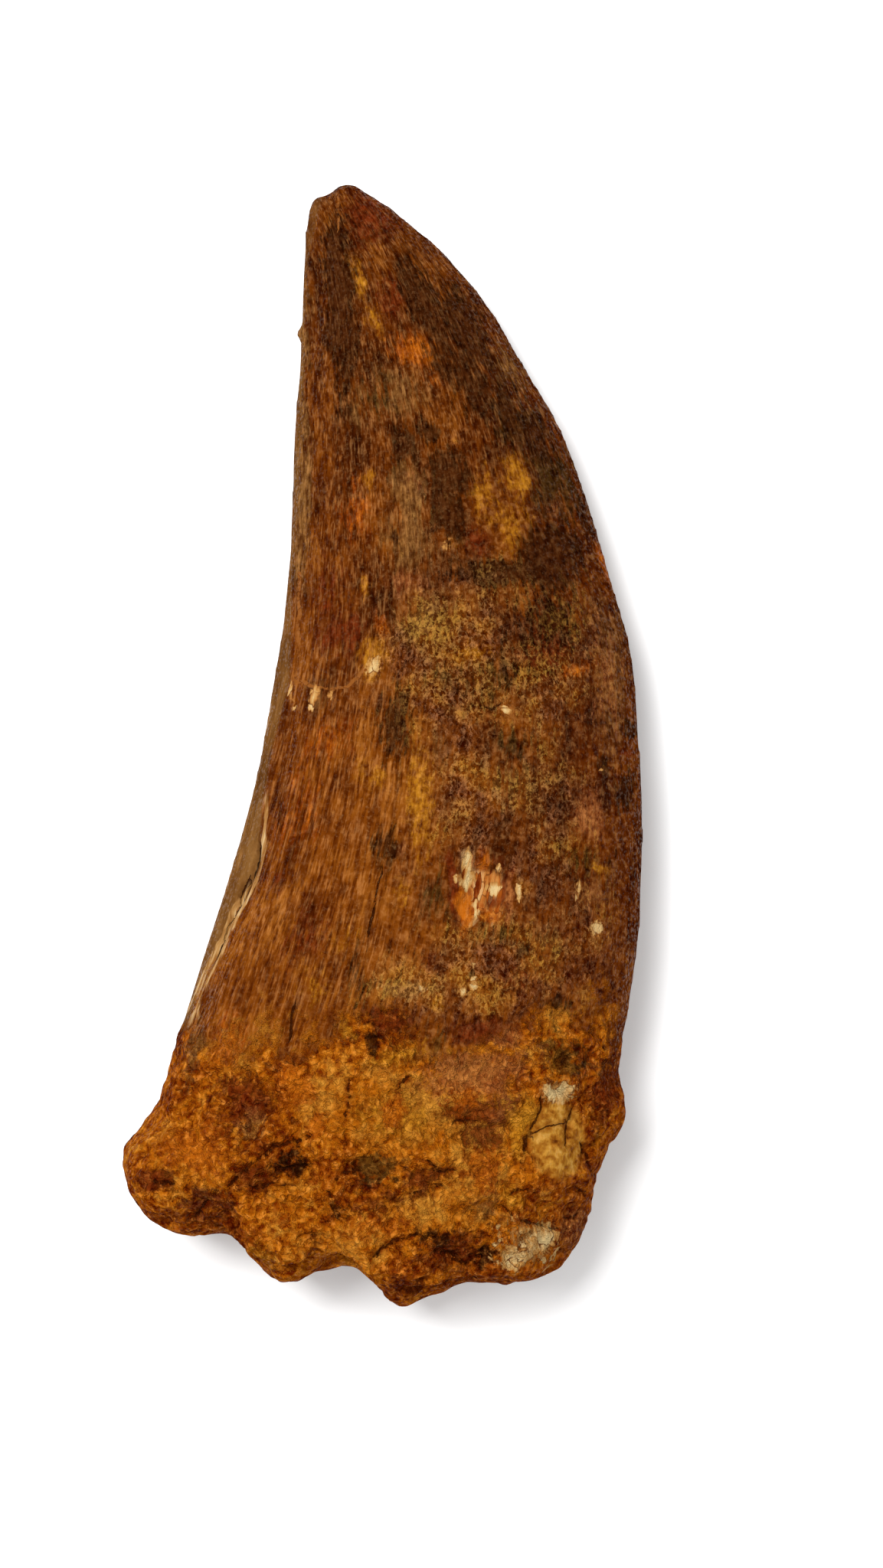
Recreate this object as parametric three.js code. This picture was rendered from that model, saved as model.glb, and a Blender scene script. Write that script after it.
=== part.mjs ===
/*
 * Fossil tooth of a large meat-eating dinosaur, lying on its side: one solid.
 *
 * Millimetres, +Z up. The tip points along +Y and the broken root along -Y. The hollowed back (distal) edge
 * of the blade is on -X and the bulging front (mesial) edge on +X. The origin is under the middle of the
 * tooth, on the surface that it lies on.
 *
 * The surface is a grid. Stations run from the tip to the root, and each station is a closed ring that goes
 * over the top from the back edge to the front edge and returns underneath. The first and the last ring
 * have no thickness, which closes the solid. Relief is then added along the normals.
 */
import * as THREE from "three";
import { mergeVertices } from "three/addons/utils/BufferGeometryUtils.js";
import { ImprovedNoise } from "three/addons/math/ImprovedNoise.js";

// ---------------------------------------------------------------- driving dimensions, in millimetres

const CROWN_THICKNESS = 20.5; // side to side, where the crown meets the root
const ROOT_THICKNESS = 22.5;
const TIP_THICKNESS = 2.6;
const ARCH = 0.7; // how far the belly of the crown stands off the surface between its two rests
const TIP_LIFT = 1.1; // how far the tip itself stands off the surface
const PAD_DEPTH = 0.45; // how much of the underside is worn flat where it rests

// The outline seen from above, as x, y. The two edges run from the tip to the corners of the root.
const BACK_EDGE = [
  [-7, 50.9], [-7.6, 47.6], [-8.1, 36], [-8.7, 23], [-9.3, 14], [-10.8, 3], [-13.1, -7.7], [-17.1, -20.8],
  [-20.3, -30.9], [-21.2, -34], [-23.2, -36.6], [-24.2, -38.6], [-23.7, -41.4], [-22.6, -43.3], [-20.4, -45.1],
];
const FRONT_EDGE = [
  [-2.5, 52.4], [1.6, 49.6], [5.1, 46.5], [10, 40.6], [13.3, 34.9], [16.8, 28.5], [19.8, 20.1], [23.1, 7.7],
  [23.8, -2], [24.1, -13], [22.9, -24], [21.9, -30.6], [22.1, -34.2], [21.6, -36.4], [20.2, -38.8],
  [19.4, -42.6], [18.4, -46], [16.9, -48.5], [14.9, -49.7],
];
// The worn tip, with the step where a flake broke off, and the lobed end of the root.
const TIP_END = [[-7, 50.9], [-6.5, 51.5], [-5.2, 51.8], [-4.7, 52.3], [-3.6, 52.7], [-2.5, 52.4]];
const ROOT_END = [
  [-20.4, -45.1], [-18.4, -46], [-14.6, -45.7], [-12.9, -46.9], [-11.5, -49], [-9.5, -50.1], [-7.1, -49.7],
  [-3.4, -48.7], [-1.8, -49.2], [-0.6, -50.9], [0.8, -52.4], [2.4, -52.6], [4.9, -51.4], [7, -50.6],
  [11.6, -50.4], [14.9, -49.7],
];

// Full thickness at a share of the way from tip to root end, and the squareness of the section's two faces:
// near 1 is a lens with sharp edges, and near 0.5 an ellipse.
const THICKNESS = [
  [0, TIP_THICKNESS], [0.07, 5.8], [0.18, 9.4], [0.35, 13.4], [0.55, 17.4], [0.78, CROWN_THICKNESS],
  [0.92, ROOT_THICKNESS], [1, ROOT_THICKNESS - 1.5],
];
const SHARPNESS = [[0, 0.7], [0.3, 0.8], [0.6, 0.72], [0.8, 0.6], [1, 0.5]];
// How far the back edge's cutting ridge lies in from the outline, on the upper side.
const RIDGE_INSET = [
  [0, 0.5], [0.05, 1.5], [0.3, 1.6], [0.5, 2.4], [0.64, 2.9], [0.8, 1.3], [0.88, 0.7], [1, 0.5],
];

// ---------------------------------------------------------------- how finely the surface is divided

const ACROSS = 29; // segments over the top, and as many underneath
const BEVEL = 3; // segments from the cutting ridge down to the outline
const TIP_STEPS = 4;
const CROWN_STEPS = 38;
const ROOT_STEPS = 19;
const END_STEPS = 11;
const TIP_SHARE = 0.018; // of the length, where the tip's rounding ends
const ROOT_SHARE = 0.76; // where the crown's stations give way to the root's closer ones
const END_SHARE = 0.955; // where the root's end starts to round off
const END_ROUNDNESS = 0.5; // 1 is an elliptical end, and less is a blunter one

// The broken end of the root.
const BROW_WANDER = 4.5; // how far the line that reaches furthest out climbs and drops
const LOBE_FADE = { above: 0.55, below: 0.95 }; // how much of the lobes is gone at the two faces
const LOBE_SLANT = 0.25; // how far the lobes lean sideways from the underside to the top
const END_SETBACK = 1.3; // how far the faces lie behind the outline
const END_LUMPS = 1.7; // height of the lumps

const CROWN_WAVES = 0.16; // height of the crown's slow waves
const ROOT_LUMPS = { large: 0.75, small: 0.4 }; // heights of the root's lumps
const EDGE_HEIGHTS = { ridge: 0.28, outline: -0.2 }; // of the back edge, as shares of the half thickness

// ---------------------------------------------------------------- small helpers

const { clamp, lerp, smoothstep } = THREE.MathUtils;
const curve = (points) => new THREE.SplineCurve(points.map(([x, y]) => new THREE.Vector2(x, y)));

/** Straight interpolation through [share, value] pairs. */
function through(pairs) {
  return (share) => {
    let i = 0;
    while (i < pairs.length - 2 && share > pairs[i + 1][0]) i++;
    const [from, to] = [pairs[i], pairs[i + 1]];
    return lerp(from[1], to[1], clamp((share - from[0]) / (to[0] - from[0]), 0, 1));
  };
}

/** A bump of height 1 at the middle of a tilted ellipse, falling to 0 at its rim. */
function mound(x, y, { at, size, turn = 0 }) {
  const angle = THREE.MathUtils.degToRad(turn);
  const [dx, dy] = [x - at[0], y - at[1]];
  const along = (dx * Math.cos(angle) + dy * Math.sin(angle)) / size[0];
  const aside = (dy * Math.cos(angle) - dx * Math.sin(angle)) / size[1];
  return 1 - smoothstep(Math.hypot(along, aside), 0, 1);
}

const perlin = new ImprovedNoise();
/** Noise of about -1 to 1 whose lumps are some `size` millimetres apart; `shift` picks another pattern. */
function lumps(p, size, shift = 0) {
  return 1.6 * perlin.noise(p.x / size + shift, p.y / size - shift, p.z / size + 2 * shift);
}

// ---------------------------------------------------------------- the plain form

const backEdge = curve(BACK_EDGE);
const frontEdge = curve(FRONT_EDGE);
const tipEnd = curve(TIP_END);
const rootEnd = curve(ROOT_END);
for (const edge of [backEdge, frontEdge, tipEnd, rootEnd]) edge.arcLengthDivisions = 400;

const thicknessAt = through(THICKNESS);
const sharpnessAt = through(SHARPNESS);
const ridgeInsetAt = through(RIDGE_INSET);

/** Height of the blade's middle plane: it rests near the tip and at the root, and arches between. */
function middleAt(share) {
  const [nearTip, atRoot] = [0.17, 0.88];
  const between = clamp((share - nearTip) / (atRoot - nearTip), 0, 1);
  const lift = ARCH * 4 * between * (1 - between) + TIP_LIFT * (1 - smoothstep(share, 0, nearTip));
  return thicknessAt(share) / 2 + lift - PAD_DEPTH;
}

/** Height above the middle plane of the line along which the broken end reaches furthest out. */
const browAt = (x) => BROW_WANDER * lumps(new THREE.Vector3(x, 0, 0), 11, 2.3);

/**
 * A point of the outline's plane: `across` is 0 on the back edge and 1 on the front edge. The root's lobes
 * are whole at the brow and fade towards the two faces, so the point depends on its height.
 */
function plan(share, across, height = 0) {
  const back = backEdge.getPointAt(share);
  const front = frontEdge.getPointAt(share);
  const point = back.clone().lerp(front, across);
  const addEnd = (end, weight, slide = 0) => {
    const straight = end.getPoint(0).lerp(end.getPoint(1), across);
    point.add(end.getPointAt(across + slide).sub(straight).multiplyScalar(weight));
  };
  addEnd(tipEnd, 1 - smoothstep(share, 0, 0.03));
  const side = (height - browAt(point.x)) / (ROOT_THICKNESS / 2);
  const fade = (side > 0 ? LOBE_FADE.above : LOBE_FADE.below) * smoothstep(Math.abs(side), 0, 1);
  addEnd(rootEnd, smoothstep(share, 0.86, 1) * (1 - fade), LOBE_SLANT * side * across * (1 - across));
  return point;
}

/** Height of a face above the edges at `across`, from 0 at both edges to 1 in the middle. */
const face = (across, sharpness) => Math.pow(1 - Math.pow(Math.abs(2 * across - 1), 2.2), sharpness);

/** Divides 0 to 1 with closer steps near both ends, where the faces curve most. */
const spread = (i, count) => lerp(i / count, 0.5 - 0.5 * Math.cos((Math.PI * i) / count), 0.55);

/** One closed ring of the surface; `fullness` is 1 on the body and 0 where an end closes. */
function ring({ share, fullness }) {
  const half = (thicknessAt(share) / 2) * fullness;
  const middle = middleAt(share);
  const sharpness = sharpnessAt(share);
  const width = plan(share, 0).distanceTo(plan(share, 1));
  const inset = (ridgeInsetAt(share) * fullness) / width;
  const ridgeHeight = EDGE_HEIGHTS.ridge * half;
  const outlineHeight = EDGE_HEIGHTS.outline * half;
  const points = [];
  const add = (across, height) => {
    const { x, y } = plan(share, across, height);
    points.push(new THREE.Vector3(x, y, middle + height));
  };
  for (let i = 0; i <= ACROSS; i++) {
    const t = spread(i, ACROSS);
    const edges = lerp(ridgeHeight, 0, t);
    add(lerp(inset, 1, t), edges + (half - edges) * face(t, sharpness));
  }
  for (let i = ACROSS - 1; i >= 0; i--) {
    const t = spread(i, ACROSS);
    const edges = lerp(outlineHeight, 0, t);
    add(t, edges - (half + edges) * face(t, sharpness));
  }
  for (let i = 1; i < BEVEL; i++) {
    const up = i / BEVEL;
    add(inset * up * up, lerp(outlineHeight, ridgeHeight, up));
  }
  return points;
}

/** Where the rings stand, from the tip to the root's end. */
function stations() {
  const list = [];
  for (let i = 0; i < TIP_STEPS; i++) {
    const angle = (i / TIP_STEPS) * (Math.PI / 2);
    list.push({ share: TIP_SHARE * (1 - Math.cos(angle)), fullness: Math.pow(Math.sin(angle), 0.8) });
  }
  for (let i = 0; i < CROWN_STEPS; i++) {
    list.push({ share: lerp(TIP_SHARE, ROOT_SHARE, i / CROWN_STEPS), fullness: 1 });
  }
  for (let i = 0; i < ROOT_STEPS; i++) {
    list.push({ share: lerp(ROOT_SHARE, END_SHARE, i / ROOT_STEPS), fullness: 1 });
  }
  for (let i = 0; i <= END_STEPS; i++) {
    const angle = (1 - Math.pow(1 - i / END_STEPS, 2)) * (Math.PI / 2);
    const fullness = i === END_STEPS ? 0 : Math.pow(Math.cos(angle), END_ROUNDNESS);
    list.push({ share: lerp(END_SHARE, 1, Math.pow(Math.sin(angle), END_ROUNDNESS)), fullness });
  }
  return list;
}

/** The closed grid as an indexed geometry, with the rings that have no thickness zipped shut. */
function plainForm() {
  const rings = stations().map(ring);
  const size = rings[0].length;
  const geometry = new THREE.BufferGeometry().setFromPoints(rings.flat());
  const shares = stations().flatMap(({ share }) => new Array(size).fill(share));
  geometry.setAttribute("share", new THREE.Float32BufferAttribute(shares, 1));
  const quads = [];
  for (let r = 0; r < rings.length - 1; r++) {
    for (let i = 0; i < size; i++) {
      const next = (i + 1) % size;
      const [a, b, c, d] = [r * size + i, r * size + next, (r + 1) * size + next, (r + 1) * size + i];
      quads.push(a, d, b, b, d, c);
    }
  }
  geometry.setIndex(quads);
  const merged = mergeVertices(geometry, 1e-3);
  const kept = [];
  for (let i = 0; i < merged.index.count; i += 3) {
    const [a, b, c] = [0, 1, 2].map((k) => merged.index.getX(i + k));
    if (a !== b && b !== c && c !== a) kept.push(a, b, c);
  }
  merged.setIndex(kept);
  return merged;
}

// ---------------------------------------------------------------- relief

/** 0 on the crown's enamel and 1 on the rough root, whose edge climbs a little towards the front. */
const rootness = (p) => smoothstep(-25.5 - 0.04 * p.x + 1.5 * lumps(p, 9) - p.y, 0, 7);

// Forms on the upper side: x, y, half sizes, turn in degrees and height.
const UPPER_FORMS = [
  { at: [15, -38.1], size: [4.6, 6.4], turn: -12, height: 1.5 }, // smooth nodule
  { at: [13.5, -47.1], size: [5.2, 2.6], turn: 12, height: 0.8 }, // crumb under it
  { at: [-20.4, -39.8], size: [4.4, 4.6], height: 1.1 }, // swelling at the back corner
  { at: [-8.6, -47.4], size: [3.6, 3.6], height: 0.9 }, // first lobe
  { at: [2.4, -48.0], size: [3.4, 5.4], height: 1.1 }, // second lobe
  { at: [-3.4, -47.4], size: [2.6, 3], height: -1 }, // dip between the lobes
  { at: [-14.2, -43.4], size: [3.6, 3.4], height: -0.8 }, // dip behind the first lobe
  { at: [-8.4, -39.6], size: [5.6, 1.3], turn: -4, height: -1 }, // crevice across the root
  { at: [8.6, -47.4], size: [4.6, 1.6], turn: 14, height: -1 }, // crevice over the end
  { at: [9.1, -13.1], size: [3.2, 4], height: -0.7 }, // chip in the enamel
];

/** How far the surface stands out at a point of the plain form, in millimetres. */
function relief(p, normal) {
  const rough = rootness(p);
  const offOutline = lerp(0.3, 1, smoothstep(Math.abs(normal.z), 0.1, 0.6));
  let height = CROWN_WAVES * (1 - rough) * lumps(p, 11);
  height += rough * offOutline * ROOT_LUMPS.large * lumps(p, 6.5, 3.1);
  height += rough * offOutline * ROOT_LUMPS.small * lumps(p, 3.4, 7.7);
  const upper = smoothstep(normal.z, 0.05, 0.5);
  for (const form of UPPER_FORMS) height += upper * form.height * mound(p.x, p.y, form);
  return height;
}

/** How far the root's broken end stands out along -Y, in millimetres; its outline stays as it is. */
function endRelief(p, share) {
  const offOutline = smoothstep(Math.abs(p.z - middleAt(1) - browAt(p.x)), 0.8, 6);
  const offCorners = smoothstep(Math.min(p.x - ROOT_END[0][0], ROOT_END.at(-1)[0] - p.x), 0, 5);
  const weight = smoothstep(share, 0.98, 0.998) * offOutline * offCorners;
  return weight * (END_LUMPS * lumps(p, 6, 5.3) - END_SETBACK);
}

/** Adds the relief, and wears the underside flat where it rests. */
function weathered(geometry) {
  geometry.computeVertexNormals();
  const position = geometry.getAttribute("position");
  const normals = geometry.getAttribute("normal");
  const shares = geometry.getAttribute("share");
  for (let i = 0; i < position.count; i++) {
    const p = new THREE.Vector3().fromBufferAttribute(position, i);
    const normal = new THREE.Vector3().fromBufferAttribute(normals, i);
    const outwards = endRelief(p, shares.getX(i));
    p.addScaledVector(normal, relief(p, normal));
    p.y -= outwards;
    position.setXYZ(i, p.x, p.y, Math.max(p.z, 0));
  }
  geometry.computeVertexNormals();
  return geometry;
}

// ---------------------------------------------------------------- the part

const fossil = new THREE.MeshStandardMaterial({ color: 0x7c4519, roughness: 0.62, metalness: 0 });
const tooth = new THREE.Mesh(weathered(plainForm()), fossil);
tooth.name = "tooth";

const part = new THREE.Group();
part.name = "fossil_dinosaur_tooth";
part.add(tooth);

export default part;
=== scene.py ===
"""
Fossil dinosaur tooth: its finish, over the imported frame.

The frame is in metres: the tip points along +Y, the hollowed back edge is on -X, and +Z is up from the
surface that the tooth lies on. Lengths here are millimetres in that frame, and MM turns them into metres.

The solid is copied as an even, dense mesh. Relief is added to its points, and each kind of stain is stored
on them as a "nearness": 1 in the middle of a stain, 0.5 at its rim and 0 at twice its size. The material
turns nearness into a ragged patch, by adding noise before it cuts at the rim.
"""
import math

import bpy
import numpy as np
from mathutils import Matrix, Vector, noise


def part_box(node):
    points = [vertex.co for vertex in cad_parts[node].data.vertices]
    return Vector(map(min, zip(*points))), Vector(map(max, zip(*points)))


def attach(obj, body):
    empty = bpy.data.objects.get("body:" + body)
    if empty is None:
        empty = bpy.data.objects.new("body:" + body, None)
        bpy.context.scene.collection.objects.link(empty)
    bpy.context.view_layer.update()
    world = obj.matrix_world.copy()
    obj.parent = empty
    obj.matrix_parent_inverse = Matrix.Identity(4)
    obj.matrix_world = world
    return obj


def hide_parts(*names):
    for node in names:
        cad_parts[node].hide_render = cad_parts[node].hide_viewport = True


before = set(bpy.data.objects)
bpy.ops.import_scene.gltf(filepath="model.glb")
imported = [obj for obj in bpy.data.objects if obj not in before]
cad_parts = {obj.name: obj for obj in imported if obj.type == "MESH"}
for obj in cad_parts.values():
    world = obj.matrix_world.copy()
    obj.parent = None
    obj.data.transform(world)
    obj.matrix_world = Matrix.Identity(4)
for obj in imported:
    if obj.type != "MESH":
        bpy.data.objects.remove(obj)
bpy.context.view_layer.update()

MM = 0.001

VOXEL = 0.36  # step of the dense mesh
WELD_DISTANCE = 0.001
SMOOTHING_ROUNDS = 16
SMOOTHING_STEPS = [0.6, -0.62]  # how far each round relaxes the points, and pushes them out again
LIGHT_LEVEL = 1.75  # how much brighter than its pigment the upper side shows in the studio's light

ROOT_START = -22.5  # where along y the crown goes over into the root

# The cutting ridge of the back edge, seen from above, from the tip to the root.
RIDGE_LINE = [
    (-5.7, 51), (-6.9, 45), (-7.3, 38), (-7.4, 30), (-7.7, 23), (-8.1, 15.7), (-8.4, 5.5), (-10.2, -1.5),
    (-10.8, -5.5), (-11.0, -8.4), (-11.3, -11.7), (-12.4, -14.4), (-14.0, -17.1), (-15.2, -20.4),
    (-16.2, -22.6), (-17.8, -26.1), (-18.6, -29),
]
RIDGE_STRETCH = (50, -27)  # the stretch of y along which it stands proud
STRIP_STRETCH = (52, -27)  # the stretch of the paler strip outside it
RIDGE_PALE = (-5.5, -26)  # the stretch of y along which its enamel is worn to a cream line
RIDGE_SECOND = (-13.5, -25.5)  # the stretch with a second cream line outside it
RIDGE_CRACK = (-10, -20.5)  # the stretch with an open crack between the two
RIDGE_HEIGHT = 0.22
RIDGE_CRACK_DEPTH = 0.4

# Stains on the upper side: x, y, half width, half length, turn in degrees, strength.
STAINS = {
    "dark": [
        (-4.4, 42.2, 1.1, 5.6, 2, 1.6), (-3.7, 38.9, 0.8, 6.8, -2, 1.1), (-3.4, 35.5, 1.1, 2, 8, 0.8),
        (3.4, 41.4, 1.2, 4.3, 20, 1.25), (5.4, 36.2, 1.6, 4.3, 22, 0.95), (7.4, 38.9, 1.4, 3.9, 28, 1.3),
        (8.1, 33.7, 1.4, 4.6, 20, 1), (12, 29.8, 1.4, 3.6, 20, 0.9), (-3.1, 31, 0.6, 0.9, 0, 0.95),
        (1.7, 27.7, 1.4, 1.5, 0, 1.05), (4.2, 28.9, 1.1, 0.9, 0, 1), (5.9, 24.8, 1.6, 1.9, 0, 1.25),
        (5.9, 21.5, 1.2, 2.8, 8, 1.3), (11.6, 30.9, 1.8, 1.9, 22, 0.85), (14.1, 28.4, 1.6, 2.1, 20, 1),
        (15.5, 16.8, 2.3, 2.8, 8, 1.25), (11.3, 15.1, 4.3, 1, -2, 1.25), (1.2, 18.7, 0.42, 0.8, 0, 1),
        (1.1, 1.1, 1.3, 4.3, 0, 0.85), (23.1, 1.2, 0.43, 0.8, 0, 1.1), (20.2, -2.3, 0.9, 0.6, 0, 0.95),
        (22.4, -5.1, 0.7, 1.9, 0, 0.95), (-1, -27.4, 0.8, 1.2, 0, 1), (12.7, -19.1, 0.9, 0.8, 0, 0.85),
        (15.8, -24.2, 1.8, 0.9, 0, 0.8), (-2, -21.4, 1.1, 2.7, -4, 0.75), (8.2, -21.6, 0.28, 0.49, 0, 1.2),
        (0.2, -9.7, 1.2, 2.4, 0, 0.8), (15, 27, 0.9, 2.1, 14, 0.8), (18.8, 21.3, 0.7, 2.1, 12, 0.8),
        (13.1, 10, 2.3, 2.5, 0, 0.75), (15.1, 10.8, 3, 2.3, 0, 0.9), (11.9, 6.4, 2.1, 1.8, 0, 0.6),
        (15.9, 21.9, 1.8, 4.3, 10, 0.7), (-8.1, -38.1, 1.7, 1.3, 0, 0.8), (9.2, -46.6, 0.5, 0.8, 0, 1.2),
        (4.7, -45.1, 2.2, 1, 0, 0.75), (-4, -42.4, 0.8, 1.2, 0, 0.75),
    ],
    "olive": [
        (6.7, 41.7, 0.7, 0.9, 0, 0.9), (10.2, 5.9, 1.6, 1.2, 0, 0.8), (12, 29.4, 2.1, 2.5, 20, 0.85),
        (15.7, 23.7, 2.3, 4.6, 14, 0.8), (2.2, 25, 1.9, 1.8, 0, 0.6), (9.8, 6.1, 2.8, 3.5, 0, 0.6),
        (4.7, -14.1, 1.6, 2.5, 0, 0.65), (16.2, -28.9, 2.7, 2.2, 0, 0.85), (-0.7, -38.6, 1.6, 1.2, 0, 1.05),
        (5.1, -28.2, 1.2, 1.7, 0, 0.75), (18.5, -11.4, 2.5, 2.1, 0, 0.6), (5.6, 6.1, 1.4, 1.4, 0, 0.7),
        (11.9, -0.2, 2.1, 2.1, 0, 0.6), (-0.1, 32.2, 1.4, 3.2, 0, 0.6), (10.8, -17.6, 2.4, 1.4, 0, 0.6),
    ],
    "red": [
        (-1.6, 49.2, 2.9, 3.2, -10, 0.85), (0.7, 41.7, 2.3, 3.2, 0, 0.75), (15.6, 35.5, 1.4, 3.2, 25, 0.7),
        (-2.9, 20.4, 1, 2.8, 0, 0.6), (-4.9, 13.3, 2.7, 5.7, 0, 0.65), (-4.2, 9.8, 2.6, 2, 0, 0.85),
        (-2.7, 10, 1.1, 1.8, 0, 1), (8.4, 18.1, 1.4, 2.1, 0, 0.85), (14.7, 9.7, 3.1, 3.9, 0, 0.95),
        (22.5, -1.1, 0.6, 0.6, 0, 1), (-9.7, -12.9, 1.6, 1.4, 0, 0.75), (-7, -18.7, 3.5, 4.5, -10, 0.65),
        (6.5, -13.2, 0.35, 3.4, 0, 1.3), (10.3, -11.2, 0.6, 1, 0, 0.8), (10, -14.7, 0.8, 0.8, 0, 1),
        (11, -13.7, 0.28, 2.4, 0, 1), (3.5, -19.7, 3.5, 1.7, 0, 0.6), (0.7, -25.6, 2.7, 1.2, 0, 0.95),
        (8.5, -26.4, 2.9, 1.2, 8, 1), (11.8, -21.5, 2.1, 1.7, 0, 0.7), (8.6, -33.7, 3.6, 1.2, 6, 1.05),
        (9.2, -36, 2, 1.6, 0, 1), (-12.8, -32.5, 2.5, 1.8, -6, 1.1), (-14.9, -35, 3.1, 2.1, 0, 0.6),
        (-8.3, -38.7, 3.5, 2.4, 0, 0.65), (-0.6, -41.3, 4.8, 2.4, 0, 0.65), (-11.6, -39.3, 2, 1.9, 0, 0.85),
        (-20.8, -39.8, 1.5, 1.2, 0, 1.1), (-16.1, -42.3, 3, 1.8, 0, 0.85), (3.7, -39.6, 2.5, 1.6, 0, 0.95),
        (6.1, -45.9, 3.6, 2, 0, 0.85), (2.5, -50.1, 2.1, 1.7, 0, 0.8), (-6.5, -45.2, 1.7, 1.4, 0, 0.6),
        (20.5, -32.3, 1.4, 4.5, -6, 0.9), (17.9, -46.8, 1.1, 2.1, 10, 0.8), (-19.1, -27.6, 0.7, 1.8, 0, 1),
    ],
    "gold": [
        (-2.5, 43.3, 0.6, 2.5, 18, 0.95), (-1, 39.4, 0.9, 2.3, 22, 0.85), (12.2, 24.8, 1.3, 2.3, 0, 0.9),
        (9.2, 22.4, 1.3, 2.8, 0, 0.8), (11.8, 19.6, 1.9, 2.8, 0, 0.8), (13, 24.2, 0.6, 1.1, 0, 1.2),
        (-1.3, 24.1, 0.6, 1.1, 0, 1), (-1.8, 14, 0.42, 1.9, 0, 0.8), (-1.1, 7.5, 1.2, 2, -14, 1.1),
        (6.1, 18.2, 0.8, 0.9, 0, 0.7), (-1.6, -3.2, 1, 2.6, 0, 0.65), (3.4, -5.7, 1.2, 5.1, -2, 1),
        (8.3, 8.1, 2.6, 0.9, 0, 0.9), (4.7, -24, 0.8, 0.9, 0, 0.9), (-0.6, -3.7, 0.6, 1.4, 0, 0.8),
        (1.6, -14.3, 1.3, 2.2, 0, 0.7), (19.8, -11.6, 0.9, 0.6, 0, 0.95), (-3.5, -18, 1.4, 2.4, -12, 0.6),
        (-6.3, -21.8, 2.1, 2.8, -12, 0.6), (-3.5, -26.6, 0.8, 1, 0, 1), (1.6, -28.7, 3.3, 1.3, 8, 0.9),
        (1.2, -34.3, 3.8, 2.5, 0, 0.95), (12.8, -35.2, 0.8, 1.9, -6, 2), (11.9, -41.4, 1.3, 1.3, 0, 1),
        (-11.2, -46.6, 1.8, 1.4, 0, 0.75), (7, -43.5, 2.8, 1, 0, 0.6), (0.4, -43.5, 2.4, 1.1, 0, 0.6),
        (7.5, 9.2, 2.3, 1.1, 0, 0.55), (15.3, -29.9, 1.4, 1.1, 0, 0.6),
    ],
    "orange": [
        (9, -10.8, 0.8, 1, 0, 0.95), (3.4, 36.4, 2.6, 1.9, 0, 0.92), (4.7, 33.8, 1.6, 1.4, 0, 0.6),
        (-2.4, 21.1, 1.6, 3.5, 0, 0.6), (20.7, 16.8, 0.8, 2.3, 16, 0.7), (-0.2, 10.5, 1, 1.3, 0, 0.8),
        (17.7, 6.2, 1.6, 0.8, 12, 0.8), (-5.3, 0.2, 3.1, 2.6, -3, 0.55), (-8, -6.6, 2.3, 4.2, -8, 0.55),
        (7.5, -15.1, 0.6, 1.8, 0, 1.8), (9.8, -16.2, 0.8, 0.6, 0, 1.2), (-8, -31.1, 1.3, 1.7, 0, 1.2),
        (-7, -31.4, 0.7, 0.9, 0, 1.3), (-6, -35, 0.8, 1.1, 0, 1.15), (-17.5, -37.5, 2.9, 1.7, 0, 1.15),
        (-14.6, -27.9, 2, 2.4, -8, 0.85), (0.8, -33.7, 1.1, 1.3, 0, 1.1), (7.6, -32.5, 2.1, 2.4, 0, 0.7),
        (9, -39.1, 2.1, 2.1, 0, 0.8), (-0.1, -43.9, 3.1, 1.1, 0, 0.85), (-5.5, -39, 1.4, 2.1, 0, 0.7),
        (-15.6, -35.7, 1.7, 1.4, 0, 0.7), (2.3, -47.8, 1.8, 1, 0, 0.7),
    ],
    "tan": [
        (1.3, 32.4, 3, 3.4, 4, 0.75), (-2.4, 31.2, 1, 2.1, 0, 0.8), (1.9, 23.2, 1.4, 2.9, 3, 1.05),
        (2.4, 18.5, 2.5, 3.9, 2, 0.9), (-7.7, 36, 0.7, 8, 0, 1), (-7.8, 22.5, 0.8, 8, 0, 1.15),
        (11.7, 35, 1.8, 2.9, 25, 0.7), (3.6, 10.7, 3.3, 3.2, 0, 0.7), (7.7, 16, 3.5, 1.4, 0, 0.6),
        (-6, 4.4, 1.4, 1.8, 0, 0.7), (20.8, 6, 1.6, 7.1, 4, 0.95), (5.4, -0.9, 1.6, 2.1, 0, 0.6),
        (11.2, -3, 2.8, 3.5, 0, 0.6), (1.4, -9.8, 0.6, 0.9, 0, 1), (2.1, -22.4, 2.8, 0.9, 0, 1),
        (9, -17.6, 2.1, 1.4, 0, 0.6), (19.3, -14.2, 1.9, 1.6, 0, 0.8), (15.5, -18, 1.6, 2.4, 0, 0.6),
        (-12, -34.6, 1.4, 1.3, 0, 0.95), (-17.5, -28.7, 0.7, 3.2, -8, 0.9), (-16, -41.8, 2.1, 1.3, 0, 0.8),
        (19.6, -30.4, 1.4, 1.4, 0, 0.7), (9, -41.8, 2.1, 2.1, 0, 0.7), (17.5, -45.2, 1.3, 2.6, 10, 0.8),
    ],
    "pink": [
        (16, 21.6, 0.8, 1, 0, 1), (20.6, 6, 1.7, 6.9, 4, 0.7), (2.1, 14.6, 2.1, 1.4, 0, 0.7),
        (19, -7, 1.2, 1.8, 0, 1.1), (11.5, -14.1, 0.38, 2.2, 0, 1.15), (19.2, -14.1, 1.8, 1.6, 0, 0.7),
        (8.6, -30.4, 4.9, 2.1, 6, 1.05), (10.1, -33.6, 1.7, 1.4, 0, 0.7), (11.8, -27.1, 2.1, 1.1, 0, 0.9),
        (-12.2, -34.3, 1.7, 1.4, 0, 0.6), (-16.9, -42.4, 2.3, 1, 0, 0.7), (1.4, -9.8, 0.6, 0.9, 0, 0.8),
        (17.5, -45, 1.3, 2.4, 10, 0.9), (2.3, 24.6, 1, 1.4, 0, 0.6), (12, -42.9, 1.2, 1, 0, 0.6),
    ],
    "pale": [
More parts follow.
